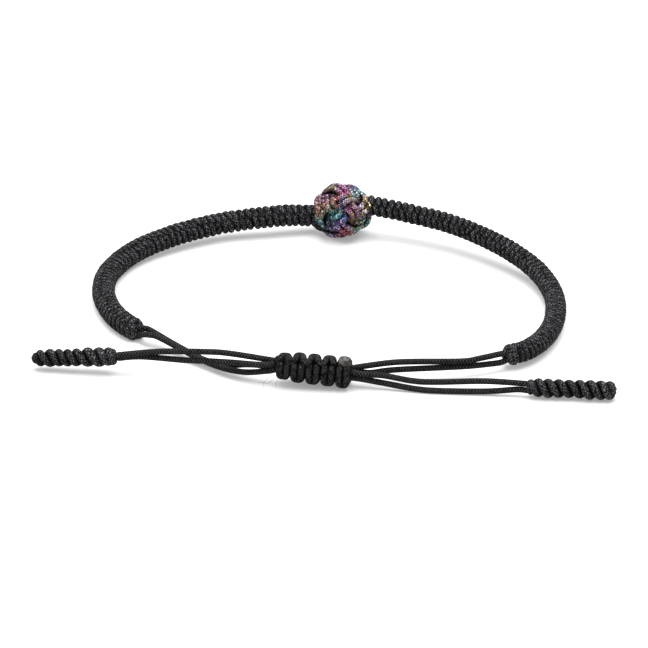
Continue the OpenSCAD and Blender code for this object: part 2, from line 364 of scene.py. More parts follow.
def closing_turns(name, route, width, cord):
    """Two turns that close the band's end, one on either side of the cords that leave it."""
    ahead, left, up = (direction[0] for direction in route.directions(np.array([route.length])))
    bend = np.radians(np.linspace(-100, 100, 21))[:, None]
    reach = (width - cord) / 2
    bow = (ahead * (np.cos(bend) * CLOSING_BOW - CLOSING_SINK)
           + up * (np.sin(bend) * reach * CLOSING_HEIGHT - CLOSING_DROP))
    bows = [route.line[-1] + bow + left * side * reach * CLOSING_ASIDE for side in (-1, 1)]
    return lay_strands(name, bows, cord / 2)


print("a bow's middle line reaches", round(CLOSING_BOW - CLOSING_SINK, 2), "mm past the band's end")

# %% [markdown]
# Now a whole band. No hand ties every rib alike, so each turn is shifted, twisted and loosened by a small
# random amount. The random numbers come from a seed, so the band is the same in every run.

# %% A whole band
# shares of a rib: where the turns of each side start, and how near to the band's ends the first and last may
NEAR_START = 0.25
FAR_START = 0.75
FIRST_TURN = 0.1
LAST_TURN = 0.6
# how much the turns differ: place in ribs, seam in degrees, width in thirds of the band's own
UNEVEN_PLACE = 0.035
UNEVEN_SEAM = 3
UNEVEN_WIDTH = 0.03
# the core's radius as a share of the width that the turns leave
BAND_CORE = 0.55


def sinnet(name, route, ribs, width, cord, seam_table, seed, tails, tighter=0.0):
    """A band of half turns; seam_table gives the seam's angle at shares of the length. A tighter above 0
    spreads the ribs at the metallic knot and crowds them at the free end."""
    rng = np.random.default_rng(seed)
    shares, degrees = zip(*seam_table)
    strands = []
    for i in range(ribs + 1):
        for side in (1, -1):
            place = i + NEAR_START if side == 1 else i + FAR_START - 2 * HOOK
            place += rng.normal(0, UNEVEN_PLACE)
            if not FIRST_TURN < place < ribs - LAST_TURN:
                continue
            share = place / ribs
            pitch = route.length / ribs * (1 + tighter * (1 - 2 * share))
            share += tighter * share * (1 - share)
            seam = np.radians(np.interp(share, shares, degrees) + rng.normal(0, UNEVEN_SEAM))
            loose = width + rng.normal(0, UNEVEN_WIDTH) * width / 3
            strand, taper = half_turn(route, share * route.length, side, seam, pitch, loose, cord)
            strands.append(strand)
    turns = lay_strands(name, strands, cord / 2, widths=taper)
    closing = closing_turns(name + "_closing", route, width, cord)
    line = route.place(np.linspace(0.3, route.length - 0.3, 60))
    inside = lay_strands(name + "_core", [line], BAND_CORE * (width - cord), sides=16)
    piece = join_meshes(name, [turns, closing, inside, *[tail(node, 0, line[-1]) for node in tails]])
    mark_crowns(piece, off_route(route), BAND_CORE * (width - cord), width / 2)
    return piece


# %% [markdown]
# Both halves follow the loop as it lies. The left one starts a little lower at the metallic knot than its
# solid does, as in the photo. The seam turns slowly from the inner side to the outer one, because the band
# twists. The right half has thinner cord and more ribs.

# %% Band halves
# columns: x, y, z
LEFT_ROUTE = [
    (-1.2, 31.6, 2.9), (-4.5, 31.0, 3.3), (-9.0, 30.1, 3.45), (-17.3, 28.5, 2.95), (-25.4, 24.3, 2.6),
    (-32.0, 18.8, 2.1), (-36.0, 11.4, 1.75), (-36.8, 4.0, 1.72), (-35.6, -2.4, 1.72), (-33.4, -7.6, 1.72),
    (-30.6, -11.2, 1.72)]
RIGHT_ROUTE = [
    (8.2, 30.2, 5.6), (14.4, 28.0, 5.2), (22.6, 23.9, 4.75), (30.6, 17.2, 3.9), (36.2, 10.2, 2.7),
    (38.8, 2.0, 2.0), (38.7, -6.5, 1.9), (36.9, -13.7, 2.0), (33.8, -19.1, 2.2), (30.4, -21.6, 2.35)]
# columns: share of the length from the metallic knot, angle of the seam above the left-hand side
LEFT_SEAM = [(0.0, 31), (0.35, 38), (0.65, 88), (1.0, 130)]
RIGHT_SEAM = [(0.0, 149), (0.35, 142), (0.65, 92), (1.0, 45)]

left_route = Route(LEFT_ROUTE)
right_route = Route(RIGHT_ROUTE)
band_left = sinnet("band_left_turns", left_route, ribs=58, width=3.9, cord=1.2, seam_table=LEFT_SEAM, seed=3,
                   tails=("cord_left_a", "cord_left_b"))
band_right = sinnet("band_right_turns", right_route, ribs=64, width=3.55, cord=1.15, seam_table=RIGHT_SEAM,
                    seed=5, tails=("cord_right_a", "cord_right_b"), tighter=0.14)
for piece, node in ((band_left, "band_left"), (band_right, "band_right")):
    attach(piece, "root")
    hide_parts(node)

# %% [markdown]
# ## The stoppers
# Each stopper is a length of cord wound round the last stretch of two cords. A perfect helix would look
# like a spring, so a short table says where each turn crosses the top and how thick it is there. The
# winding leans the way that it does on the real knots, and its last turn closes over the end.

# %% Winding
# the core's radius, and how far a turn usually strays in or out, in millimetres
COIL_CORE = 0.7
COIL_WOBBLE = 0.05


def coil(name, route, turns, width, seed, starts=2, per_turn=24):
    """Strands wound side by side; turns holds distance along the route, thickness and share of the width."""
    rng = np.random.default_rng(seed)
    table = np.array(turns)
    count = len(table) - 1
    turn = np.linspace(0, count, count * per_turn + 1)
    along, thick, share = (np.interp(turn, range(count + 1), table[:, k]) for k in range(3))
    strands = []
    for start in range(starts):
        wobble = np.interp(turn, np.arange(0, count + 0.5, 0.5), rng.normal(0, COIL_WOBBLE, 2 * count + 1))
        angle = math.radians(90) + (turn - start) * 2 * math.pi / starts
        strands.append(route.round(along, angle, (width * share - thick) / 2 + wobble))
    winding = lay_strands(name, strands, CORD / 2, sides=16, widths=thick)
    inner = route.place(np.linspace(table[0, 0], table[-1, 0] - 0.3, 20))
    return winding, lay_strands(name + "_core", [inner], COIL_CORE, sides=12)


print("two strands wind round a core", 2 * COIL_CORE, "mm thick")

# %% [markdown]
# The two stoppers share the winding and differ in their tables. On the left one two turns near the cords
# are thicker, and the right one is more even.

# %% Stoppers
# columns: distance from the left end, cord thickness there, share of the full width
LEFT_TURNS = [
    (0.1, 1.0, 0.3), (0.45, 1.15, 0.66), (1.25, 1.3, 0.98), (3.05, 1.35, 1.0), (4.5, 1.2, 0.98),
    (5.9, 1.2, 0.98), (7.4, 1.3, 1.0), (9.3, 1.55, 1.08), (11.2, 1.55, 1.1), (12.7, 1.35, 1.04),
    (13.25, 1.2, 0.94), (13.3, 1.0, 0.3)]
RIGHT_TURNS = [
    (0.15, 1.0, 0.3), (0.35, 1.3, 0.86), (1.75, 1.35, 1.0), (3.4, 1.35, 1.03), (5.1, 1.35, 1.0),
    (6.8, 1.35, 1.0), (8.5, 1.3, 1.0), (10.15, 1.35, 1.03), (11.9, 1.35, 1.03), (13.3, 1.4, 0.98),
    (13.75, 1.1, 0.35)]
STOPPER_LENGTH = 13.9
# the cords' tails run this far into a stopper, and its gaps are this deep, in millimetres
TAIL_DEPTH = 0.9
STOPPER_GAP = 0.75


def stopper(node, start, heading, turns, width, seed, tails):
    """heading points away from the left end, so that both windings lean the same way."""
    heading = np.array(heading) / np.linalg.norm(heading)
    route = Route([start + heading * share * STOPPER_LENGTH for share in np.linspace(0, 1, 5)])
    meet = route.place(TAIL_DEPTH if start[0] > 0 else STOPPER_LENGTH - TAIL_DEPTH)
    piece = join_meshes(node + "_turns", [
        *coil(node, route, turns, width, seed), *[tail(cord, 1, meet) for cord in tails]])
    mark_crowns(piece, off_route(route), width / 2 - STOPPER_GAP, width / 2)
    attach(piece, "root")
    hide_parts(node)
    return piece


stopper_left = stopper("stopper_left", (-47.2, -21.95, 1.95), (13.9, -1.5, 1.05), LEFT_TURNS, width=3.0,
                       seed=7, tails=("cord_right_a", "cord_right_b"))
stopper_right = stopper("stopper_right", (33.35, -31.95, 1.65), (13.3, -1.1, 0.0), RIGHT_TURNS, width=3.1,
                        seed=9, tails=("cord_left_a", "cord_left_b"))

# %% [markdown]
# ## The slide knot
# Five square knots sit side by side round the four cords. Seen from the front, the tying cord runs over the
# knots in one wave, up over each knot and down between two, and below it a loop hangs round each knot. Both
# could be traced as one endless rope, but the parts under the wave never show, so the wave and the loops
# are strands of their own, laid on a rounded body.

# %% The rounded body
SLIDE_MIDDLE = (-1.3, -27.65, 2.8)
SLIDE_TURN = -5.0
SLIDE_SLOPE = 4.2
SLIDE_WIDTH = 5.2
SLIDE_THICK = 4.7
# between a circle (2) and a square (many): the body's section
SLIDE_SQUARENESS = 2.7
TYING_CORD = 1.14
# where the five knots lie along the body, and how full each is
LOBE_MIDDLES = (-4.92, -2.57, -0.12, 2.35, 4.8)
LOBE_FULLNESS = (0.83, 0.98, 1.0, 1.0, 1.04)
slide_place = (Matrix.Translation(SLIDE_MIDDLE) @ Matrix.Rotation(math.radians(SLIDE_TURN), 4, "Z")
               @ Matrix.Rotation(math.radians(SLIDE_SLOPE), 4, "Y"))


def in_slide_knot(points):
    turn = np.array(slide_place.to_3x3())
    return points @ turn.T + np.array(slide_place.translation)


def on_slide_knot(x, degrees, sink=0.0):
    """Points on the rounded body: 180 degrees is its front, 90 its top; sink moves them inwards."""
    angle = np.radians(degrees)
    full = np.interp(x, LOBE_MIDDLES, LOBE_FULLNESS)
    power = 2 / SLIDE_SQUARENESS
    wide = (SLIDE_WIDTH - TYING_CORD) / 2 * full - sink
    high = (SLIDE_THICK - TYING_CORD) / 2 * full - sink
    y = np.sign(np.cos(angle)) * np.abs(np.cos(angle)) ** power * wide
    z = np.sign(np.sin(angle)) * np.abs(np.sin(angle)) ** power * high
    return in_slide_knot(np.column_stack([x, y, z]))


print("the lobes lie", np.round(np.diff(LOBE_MIDDLES), 2), "mm apart")

# %% [markdown]
# The strands are lines on the rounded body. They could be drawn point by point, but sines keep the lobes
# alike. The wave is a cosine with its flanks steepened, so that it drops quickly into each valley. A loop
# runs down beside a lobe's middle, bends below and comes up again. Strands like these, half a turn on, dress
# the back.

# %% Waves and loops
# degrees: where the wave's crests lie, and its valleys on the first and the last lobe
CREST = 70
VALLEYS = (130, 116)
# millimetres: how far the wave's flanks are pushed, its ends dive and its valleys stand out
WAVE_PUSH = 0.09
WAVE_DIVE = 0.75
VALLEY_RISE = 0.28
# degrees: where the first and the last loop start, where a loop bends, and how far it hangs from there
LOOP_STARTS = (140, 124)
LOOP_BEND = 190.0
LOOP_HANG = 50
# millimetres: half the distance between a loop's two legs, and how far its ends dive
ARCH = 0.6
LOOP_DIVE = 0.6


def wave(half_turn_degrees, last):
    """The strand that runs over the lobes; half_turn_degrees puts it on the front (0) or the back (180)."""
    phase = np.linspace(-0.75 * math.pi, 2 * math.pi * last + 0.9 * math.pi, 60 * (last + 1))
    lobe = np.mean(np.diff(LOBE_MIDDLES))
    x = LOBE_MIDDLES[0] + lobe * phase / (2 * math.pi) + WAVE_PUSH * np.sin(2 * phase)
    valley = np.interp(x, (LOBE_MIDDLES[0], LOBE_MIDDLES[-1]), VALLEYS)
    top = (1 + np.cos(phase)) / 2
    degrees = valley - (valley - CREST) * top
    ends = np.clip(np.maximum(phase[0] + 1.0 - phase, phase - phase[-1] + 1.0), 0, 1)
    return on_slide_knot(x, degrees + half_turn_degrees, WAVE_DIVE * ends - VALLEY_RISE * (1 - top))


def hanging_loop(middle, half_turn_degrees):
    """A loop round the lower half of a lobe; both of its ends dive under the wave."""
    down = np.linspace(0, 1, 16)
    bend = np.linspace(0, math.pi, 15)[1:-1]
    start = np.interp(middle, (LOBE_MIDDLES[0], LOBE_MIDDLES[-1]), LOOP_STARTS)
    x = np.concatenate([np.full(16, -1.0), -np.cos(bend), np.full(16, 1.0)]) * ARCH + middle
    degrees = np.concatenate([start + (LOOP_BEND - start) * down, LOOP_BEND + LOOP_HANG * np.sin(bend),
                              LOOP_BEND + (start - LOOP_BEND) * down])
    sink = LOOP_DIVE * np.clip(1 - np.concatenate([down, np.ones(13), down[::-1]]) * 3.6, 0, 1)
    return on_slide_knot(x, degrees + half_turn_degrees, sink)


def first_turn():
    """The small extra turn at the left end."""
    degrees = np.linspace(66, 152, 20)
    sink = 0.25 + 0.5 * np.abs(np.linspace(-1, 1, 20)) ** 3
    return on_slide_knot(np.full(20, LOBE_MIDDLES[0] - 1.1), degrees, sink)


slide_strands = [wave(half, 3 if half == 0 else 4) for half in (0, 180)]
slide_loops = [hanging_loop(m, half) for m in LOBE_MIDDLES for half in (0, 180)]
print(len(slide_strands), "waves and", len(slide_loops), "loops")

# %% [markdown]
# The knot is put together round a thick core, with a small extra turn at its left end, where three loose
# fibres stick out. Hair particles could make the fibres, but three tables of points are simpler to place.
# They are thinner than a hair, so they have only a few sides.

# %% Slide knot
# the core's and a fibre's radius
SLIDE_CORE = 1.62
FIBRE = 0.018
# columns: along the knot, across it and up, from its middle
FIBRES = [
    [(-6.2, -1.9, -0.6), (-7.4, -2.6, -1.4), (-7.9, -2.9, -2.2), (-7.7, -3.3, -2.6)],
    [(-6.0, -1.8, -1.0), (-7.0, -2.8, -1.9), (-8.6, -3.1, -1.8)],
    [(-5.6, -1.9, -1.2), (-5.9, -2.5, -2.2), (-5.7, -2.6, -2.6)]]
slide_core = in_slide_knot(np.column_stack([np.linspace(-5.7, 5.5, 20), np.zeros(20), np.zeros(20)]))
slide_knot = join_meshes("slide_knot_turns", [
    *[lay_strands("slide_wave", [strand], TYING_CORD / 2, sides=16) for strand in slide_strands],
    lay_strands("slide_loops", slide_loops, TYING_CORD / 2, sides=16),
    lay_strands("slide_first", [first_turn()], 0.5, sides=16),
    *[lay_strands("slide_fibre", [in_slide_knot(smooth_line(table, 6))], FIBRE, sides=6) for table in FIBRES],
    lay_strands("slide_core", [slide_core], SLIDE_CORE, sides=20)])


def off_slide_axis(points):
    """Distance from the knot's own axis, as a share of the way to the rounded body's surface."""
    local = (points - np.array(slide_place.translation)) @ np.array(slide_place.to_3x3())
    full = np.interp(local[:, 0], LOBE_MIDDLES, LOBE_FULLNESS)
    across = np.abs(local[:, 1]) / (SLIDE_WIDTH / 2 * full)
    upward = np.abs(local[:, 2]) / (SLIDE_THICK / 2 * full)
    return (across**SLIDE_SQUARENESS + upward**SLIDE_SQUARENESS) ** (1 / SLIDE_SQUARENESS)


mark_crowns(slide_knot, off_slide_axis, low=0.74, high=0.98)
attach(slide_knot, "root")
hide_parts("slide_knot")

# %% [markdown]
# ## The burnt end
# The tying cord's end is melted into a hard bead on the last lobe. A plain sphere would look like a pearl,
# so an icosphere is squashed and its vertices are pushed about by noise until it looks like cooled plastic.

# %% Burnt end
# millimetres along the knot and degrees round it, and half sizes in millimetres
BURNT_PLACE = (5.0, 97.0)
BURNT_SIZE = (1.25, 1.1, 1.05)


def burnt_bead():
    bm = bmesh.new()
    bmesh.ops.create_icosphere(bm, subdivisions=5, radius=1.0)
    for vertex in bm.verts:
        bump = noise.noise(vertex.co * 1.6) * 0.16 + noise.noise(vertex.co * 4.5) * 0.07
        vertex.co *= 1 + bump + noise.noise(vertex.co * 11) * 0.03
    bmesh.ops.scale(bm, vec=Vector(BURNT_SIZE) * MM, verts=bm.verts)
    middle = on_slide_knot(np.array([BURNT_PLACE[0]]), np.array([BURNT_PLACE[1]]), -0.08)[0]
    bmesh.ops.translate(bm, vec=Vector(middle) * MM, verts=bm.verts)
    mesh = bpy.data.meshes.new("burnt_bead")
    bm.to_mesh(mesh)
    bm.free()
    return mesh


burnt_tip = join_meshes("burnt_bead", [burnt_bead()])
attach(burnt_tip, "root")
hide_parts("burnt_tip")

# %% [markdown]
# ## The metallic knot
# A doubled metallic strand runs five times round a ball while it swings from pole to pole, over one
# crossing and under the next. It could be traced by hand, but each crossing would have to be put right by
# itself. With one sine for the swing and one for the height they all come right at once. The second strand
# lies beside the first. Two more lie deeper and close the gaps, because no light comes through the real knot.

# %% The weave
KNOT_MIDDLE = (3.5, 30.15, 4.65)
KNOT_RADIUS = (4.32, 3.95, 3.95)
# the ball's rough radius, which turns millimetres into shares of it
KNOT_SIZE = 4
KNOT_STRAND = 1.0
KNOT_ARMS = 4
KNOT_ROUNDS = 5
# degrees that the strand swings from the ball's equator, and millimetres that it rises or dives at a crossing
KNOT_SWING = 75
KNOT_LIFT = 0.62
# the hidden strands lie this share of the radius deeper
FILLING_DEPTH = 0.16
# the pole that shows is tilted up from the front, and the weave is turned round it, in degrees
KNOT_TILT = 28
KNOT_TURN = 66
# half the distance between the two strands, in strand widths, and the points along each
STRAND_APART = 0.49
KNOT_POINTS = 700
# two slow waves of this share of the radius make the ball a little lumpy, as a hand-tied one is
LUMPS = 0.03


def knot_direction(t, turn):
    """Where the strand lies as seen from the ball's middle; t runs once from 0 to 2 pi."""
    colat = np.radians(90 + KNOT_SWING * np.cos(KNOT_ARMS * t))
    lon = KNOT_ROUNDS * t + math.radians(turn)
    return np.stack([np.sin(colat) * np.cos(lon), np.sin(colat) * np.sin(lon), np.cos(colat)], axis=-1)


def knot_strand(side, turn=KNOT_TURN, deeper=0.0):
    """One closed strand; side is 1 or -1 for the two that lie beside each other."""
    t = np.linspace(0, 2 * math.pi, KNOT_POINTS, endpoint=False)
    out = knot_direction(t, turn)
    ahead = knot_direction(t + 0.01, turn) - out
    ahead /= np.linalg.norm(ahead, axis=-1, keepdims=True)
    height = 1 - deeper - KNOT_LIFT / KNOT_SIZE * np.sin(KNOT_ARMS * (KNOT_ROUNDS - 1) * t)
    height += LUMPS * np.sin(4 * t + 1.0) + LUMPS * np.sin(7 * t + 0.9)
    out = out + np.cross(out, ahead) * side * KNOT_STRAND * STRAND_APART / KNOT_SIZE
    out /= np.linalg.norm(out, axis=-1, keepdims=True)
    tip = np.array(Matrix.Rotation(math.radians(90 - KNOT_TILT), 3, "X"))
    return (out * height[:, None]) @ tip.T * np.array(KNOT_RADIUS) + np.array(KNOT_MIDDLE)


knot_strands = [knot_strand(side) for side in (-1, 1)]
knot_strands += [knot_strand(side, KNOT_TURN + 180 / KNOT_ARMS, FILLING_DEPTH) for side in (-1, 1)]
colour_knot = join_meshes("colour_knot_strands", [
    lay_strands("knot_strand", [strand], KNOT_STRAND / 2, sides=14, closed=True) for strand in knot_strands])

# %% [markdown]
# The thread is space-dyed: its colour changes every few millimetres. Waves of colour along the strand would
# do, but the ball has patches, such as copper on the left and teal below. So a table says
# roughly which dye lies where, and every vertex takes the nearest one. Neighbouring bits of thread are a
# little out of step, which frays the edges of the patches.

# %% Dyed thread
DYES = {
    "copper": (0.30, 0.12, 0.06), "peach": (0.42, 0.25, 0.18), "red": (0.24, 0.03, 0.04),
    "magenta": (0.24, 0.03, 0.13), "pink": (0.33, 0.13, 0.19), "mauve": (0.22, 0.10, 0.19),
    "lavender": (0.24, 0.19, 0.36), "violet": (0.10, 0.03, 0.20), "blue": (0.05, 0.14, 0.34),
    "navy": (0.012, 0.02, 0.10), "teal": (0.015, 0.20, 0.21), "mint": (0.14, 0.36, 0.28),
    "gold": (0.33, 0.25, 0.07), "khaki": (0.20, 0.15, 0.09)}
# columns: sideways and upward from the middle, in millimetres, as the knot is seen from the front; dye
DYE_SPOTS = [
    (-2.1, 3.5, "khaki"), (-0.5, 3.9, "mauve"), (0.6, 3.3, "magenta"), (1.2, 4.2, "mauve"),
    (2.0, 3.8, "blue"), (3.2, 3.2, "mint"), (-0.9, 1.9, "red"), (0.4, 1.6, "lavender"),
    (1.1, 1.9, "gold"), (1.8, 2.3, "mint"), (3.4, 2.2, "peach"), (1.7, 1.1, "pink"),
    (2.8, 0.8, "lavender"), (3.8, 0.4, "gold"), (-0.2, 0.6, "navy"), (1.2, -0.1, "magenta"),
    (2.1, -0.7, "pink"), (1.8, -1.5, "gold"), (3.9, -0.8, "mauve"), (3.7, -2.0, "mint"),
    (-1.0, -0.5, "mint"), (-2.1, -0.9, "teal"), (-0.8, -1.6, "teal"), (0.3, -1.5, "blue"),
    (0.7, -2.3, "violet"), (-1.4, 1.0, "copper"), (-2.4, 2.3, "mauve"), (-2.3, 0.9, "peach"),
    (-3.8, 1.6, "pink"), (-4.0, 0.4, "copper"), (-3.3, -0.6, "khaki"), (-3.0, -2.0, "teal"),
    (-1.9, -3.1, "lavender"), (-0.9, -2.8, "violet"), (0.1, -3.7, "red"), (1.4, -3.6, "copper"),
    (2.4, -2.6, "gold"), (2.2, -3.3, "teal"), (0.9, -3.0, "lavender")]
# millimetres: the size of a bit of thread that keeps in step, and how far it usually is from the next
DYE_PATCH = 0.4
OUT_OF_STEP = 0.45


def dye_strands(piece, seed):
    """Stores a colour on each vertex, that of the dye spot nearest to it."""
    rng = np.random.default_rng(seed)
    places = np.array([spot[:2] for spot in DYE_SPOTS])
    colours = np.array([(*DYES[spot[2]], 1.0) for spot in DYE_SPOTS])
    points = np.zeros(len(piece.data.vertices) * 3, np.float32)
    piece.data.vertices.foreach_get("co", points)
    off = points.reshape(-1, 3) / MM - KNOT_MIDDLE
    tilt = math.radians(VIEW_TILT)
    seen = np.column_stack([off[:, 0], off[:, 1] * math.sin(tilt) + off[:, 2] * math.cos(tilt)])
    threads = np.floor(points.reshape(-1, 3) / MM / DYE_PATCH).astype(int) % 16
    seen = seen + rng.normal(0, OUT_OF_STEP, (16, 16, 16, 2))[tuple(threads.T)]
    apart = np.linalg.norm(seen[:, None] - places, axis=2)
    layer = piece.data.attributes.new("dye", "FLOAT_COLOR", "POINT")
    layer.data.foreach_set("color", colours[apart.argmin(axis=1)].astype(np.float32).ravel())


dye_strands(colour_knot, seed=4)
print(len(DYE_SPOTS), "spots of", len(DYES), "dyes")

# %% [markdown]
# The crowns could be measured from a line inside, as on the bands. But a ball has a middle, and the distance
# from it, in shares of the radius, tells a crown from a gap just as well.

# %% Metallic knot
mark_crowns(colour_knot, lambda points: np.linalg.norm((points - KNOT_MIDDLE) / KNOT_RADIUS, axis=1),
            low=0.86, high=1.12)
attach(colour_knot, "root")
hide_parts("colour_knot")

# %% [markdown]
# ## The end loop
# Beside the metallic knot the band's cord comes back as a small loop. A torus would be too regular, and the
# loop is one thick turn, so one strand through five points will do. It lies open to the light, so all of it
# counts as a crown.

# %% End loop
END_LOOP_THICK = 1.7
END_LOOP = [(-2.0, 31.4, 2.9), (-1.2, 30.5, 2.3), (-0.4, 29.7, 1.9), (0.6, 29.8, 1.6), (1.5, 31.0, 1.5)]
end_loop = join_meshes("end_loop_turn", [
    lay_strands("end_loop_turn", [Route(END_LOOP).line], END_LOOP_THICK / 2, sides=16)])
mark_crowns(end_loop, lambda points: np.ones(len(points)), 0, 1)
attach(end_loop, "root")
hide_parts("end_loop")

# %% [markdown]
# ## Materials
# Nylon cord is a plait of shiny filaments. An image of a plait would do on one cord, but not on every knot,
# so the plait is worked out from the cord's own UV map.

# %% Numbers in a shader
class Value:
    """A shader number: Python's operators on it add Math nodes."""

    def __init__(self, shader, socket):
        self.shader = shader
        self.socket = socket

    def math(self, operation, *others):
        return self.shader.node("ShaderNodeMath", {"operation": operation}, self, *others)

    def __add__(self, other):
        return self.math("ADD", other)

    def __sub__(self, other):
        return self.math("SUBTRACT", other)

    def __rsub__(self, other):
        return (self * -1) + other

    def __mul__(self, other):
        return self.math("MULTIPLY", other)

    def __pow__(self, other):
        return self.math("POWER", other)

    def cos(self):
        return self.math("COSINE")

    def floor(self):
        return self.math("FLOOR")

    def size(self):
        return self.math("ABSOLUTE")

    def top(self, other):
        return self.math("MAXIMUM", other)

    def clamp(self):
        return self.shader.node("ShaderNodeClamp", {}, self)


# %% [markdown]
# A material is easier to read as a few lines of code than as a picture of fifty nodes. This small class
# adds any node in one call: its settings first, and then the values or links of its sockets.

# %% A shader in code
class Shader:
    """A material with a Principled shader, and one method that adds any node."""

    def __init__(self, name):
        self.material = bpy.data.materials.new(name)
        self.material.use_nodes = True
        self.tree = self.material.node_tree
        self.surface = self.tree.nodes["Principled BSDF"]

    def connect(self, socket, value):
        if isinstance(value, Value):
            self.tree.links.new(value.socket, socket)
        else:
            socket.default_value = value

    def node(self, kind, settings, *values, out=0, **named):
        node = self.tree.nodes.new(kind)
        for key, setting in settings.items():
            setattr(node, key, setting)
        for socket, value in zip(node.inputs, values):
            self.connect(socket, value)
        for key, value in named.items():
            self.connect(node.inputs[key.replace("_", " ")], value)
        return Value(self, node.outputs[out])

    def mix(self, share, dark, light):
        """A colour between two, which are colours or values."""
        mixer = self.node("ShaderNodeMix", {"data_type": "RGBA"}, share, out=2)
        for socket, colour in zip(mixer.socket.node.inputs[6:8], (dark, light)):
            self.connect(socket, colour if isinstance(colour, Value) else (*colour, 1))
        return mixer

    def split(self, vector):
        node = self.node("ShaderNodeSeparateXYZ", {}, vector).socket.node
        return Value(self, node.outputs[0]), Value(self, node.outputs[1])

    def set(self, **named):
        for key, value in named.items():
            self.connect(self.surface.inputs[key.replace("_", " ")], value)


# %% [markdown]
# The plait is two families of ridges that cross: one leans forward round the cord and the other backward.
# The higher one wins, and a wave along the cord lets each pass over and under in turn. The Wave texture
# node draws one family at a time, and plain cosines are as short. No plait is quite regular, so noise
# shifts the map a little.

# %% The plait
def cord_map(shader, wander):
    """Place along the cord in millimetres and around it from 0 to 1, both shifted a little by noise."""
    along, around = shader.split(shader.node("ShaderNodeUVMap", {"uv_map": "cord_map"}))
    where = shader.node("ShaderNodeTexCoord", {}, out=3)
    shift = shader.node("ShaderNodeTexNoise", {}, where, out=1, Scale=1300.0, Detail=1.0)
    shift_along, shift_around = shader.split(shift)
    return along + (shift_along - 0.5) * wander, around + (shift_around - 0.5) * (wander * 0.3)


def plait(shader, carriers, repeat, wander):
    """Height of a round plait, 0 to 1: so many carriers cross in each repeat, which is in millimetres."""
    along, around = cord_map(shader, wander)
    along = along * (2 * math.pi / repeat)
    around = around * (2 * math.pi * carriers)
    over = along.cos() * 0.4
    one = ((along + around) * 0.5).cos().size()
    two = ((along - around) * 0.5).cos().size()
    return (one * (over + 0.6)).top(two * (0.6 - over))


# %% [markdown]
# ## Nylon
# The cord is black, but it does not look even: the filaments' crowns catch the light and the gaps between
# them swallow it. A glossy black would shine in broad streaks, which the real cord doesn't. So the surface
# stays dull, and the crowns get a painted highlight of dark grey, more on some filaments than on others,
# while painted shade darkens the gaps between the turns of knots and bands. The knots are tied tight and show
# a finer, rougher plait than the bare cords.

# %% Nylon
BLACK = (0.0012, 0.0012, 0.0014)
# how deep the weave looks in the light, in millimetres
RELIEF = 0.12


def black_nylon(name, light, carriers, repeat, pits=0.5, depth=2.2, marked=True, wander=0.6, uneven=3.4,
                grain=1500.0):
    """Black cord with a painted highlight on the plait's crowns: light is the highlight's brightness, and
    pits the height below which it stays black. On a piece with marked crowns, depth sets the painted shade in
    the gaps between its turns."""
    shader = Shader(name)
    height = plait(shader, carriers, repeat, wander)
    where = shader.node("ShaderNodeTexCoord", {}, out=3)
    patchy = shader.node("ShaderNodeTexNoise", {}, where, Scale=grain, Detail=2.0, Roughness=0.6)
    # glint is the painted highlight on the plait's crowns, uneven from place to place
    glint = ((height - pits) * (1 / (0.95 - pits)) + 0.05).clamp() * ((patchy - 0.5) * uneven + 0.7).clamp()
    # painted shade: on a piece with marked crowns, the gaps between the turns go dark
    if marked:
        crown = shader.node("ShaderNodeAttribute", {"attribute_name": "crown"}, out=2)
        glint = glint * (crown ** depth)
    light = (light, light * 0.97, light * 1.03)
    shader.set(Base_Color=shader.mix(glint, BLACK, light), Roughness=0.6, Specular_IOR_Level=0.03)
    shader.set(Normal=shader.node("ShaderNodeBump", {}, Strength=1.0, Distance=RELIEF * MM, Height=height))
    return shader.material


band_nylon = black_nylon("band_nylon", light=0.13, carriers=7, repeat=0.5)
cord_nylon = black_nylon("cord_nylon", light=0.062, carriers=4, repeat=0.5, marked=False, wander=0.15,
                         uneven=1.4)
knot_nylon = black_nylon("knot_nylon", light=0.12, carriers=8, repeat=0.42, depth=2.6, uneven=2.6,
                         grain=2600.0)
slide_nylon = black_nylon("slide_nylon", light=0.048, carriers=6, repeat=0.5, pits=0.42, depth=1.3)
for finish, pieces in ((band_nylon, (band_left, band_right)), (cord_nylon, cords.values()),
                       (knot_nylon, (stopper_left, stopper_right)), (slide_nylon, (slide_knot, end_loop))):
    for piece in pieces:
        piece.data.materials.append(finish)
    print(finish.name, "on", len(pieces), "pieces")

# %% [markdown]
# ## Metallic thread
# The strands of the ball are wound with flat foil thread, which glitters in small lozenges where it crosses.
# Many tiny mirrors could be modelled, but at this size they would only flicker. So the glitter is painted:
# one random number for each lozenge paints some bright and some dark as painted reflections, the brightest
# get a nearly white painted highlight, the gaps between strands get painted shade, and the weave's gaps
# between lozenges go dark too.

# %% Metallic thread
# a lozenge's length along the strand in millimetres, and how many lie round the strand
THREAD = 0.45
THREADS_ROUND = 3.0
# the dark of the weave's gaps and of the painted shade between strands, and the nearly white painted
# highlight
FOIL_GAP_SHADE = (0.003, 0.002, 0.003)
FOIL_HIGHLIGHT = (0.6, 0.55, 0.6)


